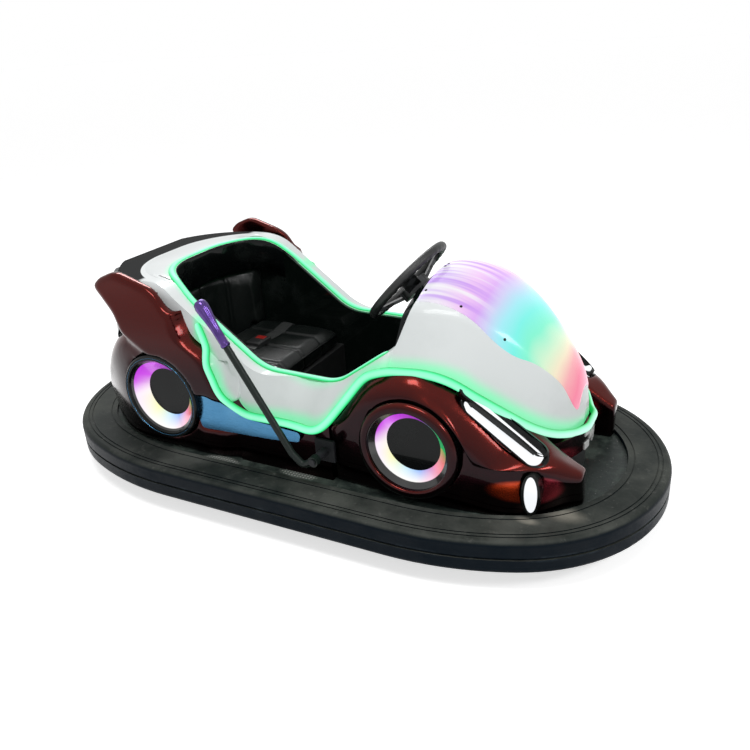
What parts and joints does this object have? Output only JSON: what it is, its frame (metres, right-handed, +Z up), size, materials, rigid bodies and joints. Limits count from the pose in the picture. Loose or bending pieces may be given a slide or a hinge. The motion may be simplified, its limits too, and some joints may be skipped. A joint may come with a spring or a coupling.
{
  "type": "battery bumper car",
  "caption": "Battery bumper car with a rubber bumper ring, finned body, lit hood and wheel lights, and an open cockpit with a steering wheel and side lever.",
  "frame": {"origin": "on the floor, in the middle of the bumper ring", "axes": "+X forward, +Y to the car's left, +Z up"},
  "size_m": [1.9496, 0.984, 0.7409],
  "materials": {
    "bumper_rubber": "satin",
    "deck_steel": "satin",
    "frame_steel": "satin",
    "battery_case": "matte",
    "maroon_gloss": "gloss",
    "white_gloss": "gloss",
    "black_gloss": "gloss",
    "black_trim": "satin",
    "neon": "satin",
    "panel_light": "gloss",
    "lamp_white": "gloss",
    "ring_light": "gloss",
    "polished_trim": "gloss",
    "chequer_white": "gloss",
    "seat_vinyl": "satin",
    "belt_web": "matte",
    "tyre_rubber": "matte",
    "cast_hub": "satin",
    "wheel_black": "satin",
    "lever_black": "satin",
    "grip_purple": "gloss",
    "bright_steel": "satin"
  },
  "bodies": {
    "car_body": {"bumper_ring": "bumper_rubber", "bumper_carrier": "deck_steel", "chassis_frame": "frame_steel", "rear_axle": "bright_steel", "steering_bridge": "frame_steel", "lever_bracket": "bright_steel", "floor_pan": "deck_steel", "battery_pack": "battery_case", "cockpit_surround": "white_gloss", "hood_shell": "white_gloss", "hood_light_panel": "panel_light", "neon_side": "neon", "neon_rim": "neon", "front_fender_left": "maroon_gloss", "front_fender_right": "maroon_gloss", "rear_fender_left": "maroon_gloss", "rear_fender_right": "maroon_gloss", "sills": "maroon_gloss", "side_trims": "polished_trim", "lamp_lenses": "lamp_white", "lamp_bezels": "black_gloss", "wheel_light_rings": "ring_light", "wheel_light_housings": "black_gloss", "nose_lip": "maroon_gloss", "nose_grille": "black_trim", "chequer_blocks": "chequer_white", "tail_panel": "maroon_gloss", "rear_cover": "black_gloss", "dash_panel": "black_gloss", "cockpit_tub": "black_gloss", "seat_base": "black_gloss", "seat_cushion": "seat_vinyl", "seat_back": "seat_vinyl", "belt_straps": "belt_web", "belt_buckle": "black_trim", "dash_console": "black_gloss"},
    "steering": {"steering_column": "lever_black", "steering_rim": "wheel_black", "steering_hub": "wheel_black"},
    "front_fork": {"fork": "frame_steel"},
    "front_wheel": {"front_tyre": "tyre_rubber", "front_hub": "cast_hub"},
    "rear_wheel_left": {"rear_tyre_left": "tyre_rubber", "rear_hub_left": "cast_hub"},
    "rear_wheel_right": {"rear_tyre_right": "tyre_rubber", "rear_hub_right": "cast_hub"},
    "lever": {"lever_bar": "lever_black", "lever_grip": "grip_purple"}
  },
  "joints": [
    {"name": "steering_turn", "type": "hinge", "parent": "car_body", "child": "steering", "pos_m": [0.226, 0, 0.629], "axis": [-0.7419, 0, 0.6705], "continuous": true},
    {"name": "fork_turn", "type": "hinge", "parent": "car_body", "child": "front_fork", "pos_m": [0.6, 0, 0.2], "axis": [0, 0, 1], "continuous": true},
    {"name": "front_wheel_spin", "type": "hinge", "parent": "front_fork", "child": "front_wheel", "pos_m": [0.6, 0, 0.09], "axis": [0, 1, 0], "continuous": true},
    {"name": "rear_left_spin", "type": "hinge", "parent": "car_body", "child": "rear_wheel_left", "pos_m": [-0.5, 0.265, 0.0675], "axis": [0, 1, 0], "continuous": true},
    {"name": "rear_right_spin", "type": "hinge", "parent": "car_body", "child": "rear_wheel_right", "pos_m": [-0.5, -0.265, 0.0675], "axis": [0, 1, 0], "continuous": true},
    {"name": "lever_swing", "type": "hinge", "parent": "car_body", "child": "lever", "pos_m": [0.116, -0.398, 0.238], "axis": [0, 1, 0], "range_deg": [-10, 30]}
  ],
  "couplings": [
    {"joint": "fork_turn", "follows": "steering_turn", "ratio": 1}
  ]
}
